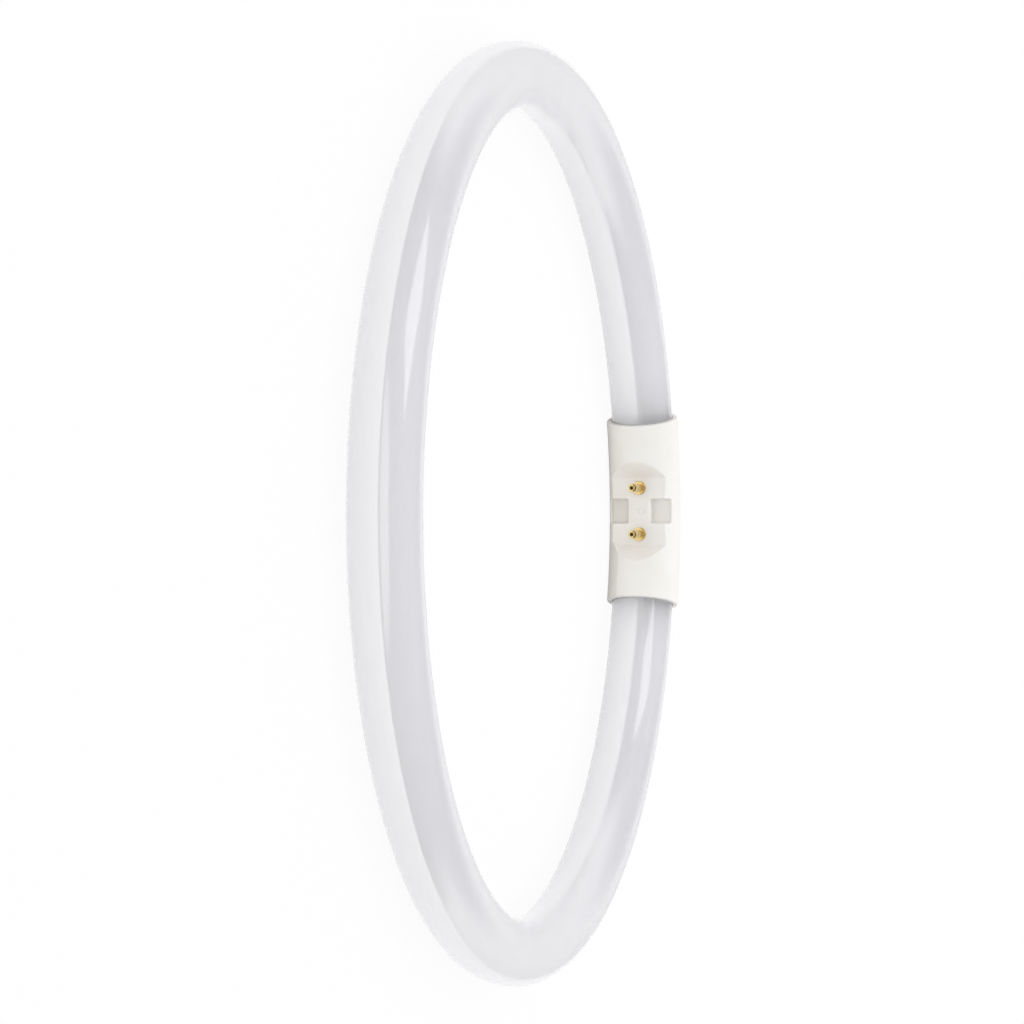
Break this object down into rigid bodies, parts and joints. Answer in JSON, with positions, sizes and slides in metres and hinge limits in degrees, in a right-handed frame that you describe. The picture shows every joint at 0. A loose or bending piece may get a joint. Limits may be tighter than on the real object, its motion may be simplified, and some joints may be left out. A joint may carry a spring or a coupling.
{
  "type": "circular led tube",
  "caption": "Ring-shaped opal glass lamp closed by a moulded white cap, with a recessed connector and contact pins that point at the ring's middle.",
  "frame": {"origin": "middle of the ring, in the plane halfway through the glass tube", "axes": "+Z along the ring's axis, +X from the middle of the ring to the cap, +Y along the cap; the lamp lies flat"},
  "size_m": [0.2315, 0.23, 0.0196],
  "materials": {
    "opal_glass": "opal white, glossy",
    "cap_plastic": "warm white, satin",
    "pin_brass": "bright turned",
    "board_laminate": "green solder mask",
    "component_moulding": "black moulding",
    "choke_ferrite": "ferrite with a varnished winding",
    "capacitor_can": "satin can",
    "fuse_ceramic": "lacquered body",
    "lead_insulation": "white silicone insulation",
    "seal_silicone": "cured white silicone"
  },
  "bodies": {
    "root": {"glass_ring": "opal_glass", "cap_inner_shell": "cap_plastic", "cap_outer_shell": "cap_plastic", "contact_pin_1": "pin_brass", "contact_pin_2": "pin_brass", "driver_board": "board_laminate", "bridge_rectifier": "component_moulding", "driver_chip": "component_moulding", "choke": "choke_ferrite", "bulk_capacitor": "capacitor_can", "fuse_resistor": "fuse_ceramic", "pin_lead_1": "lead_insulation", "pin_lead_2": "lead_insulation", "strip_lead_1": "lead_insulation", "strip_lead_2": "lead_insulation", "end_seal_1": "seal_silicone", "end_seal_2": "seal_silicone"}
  },
  "joints": []
}
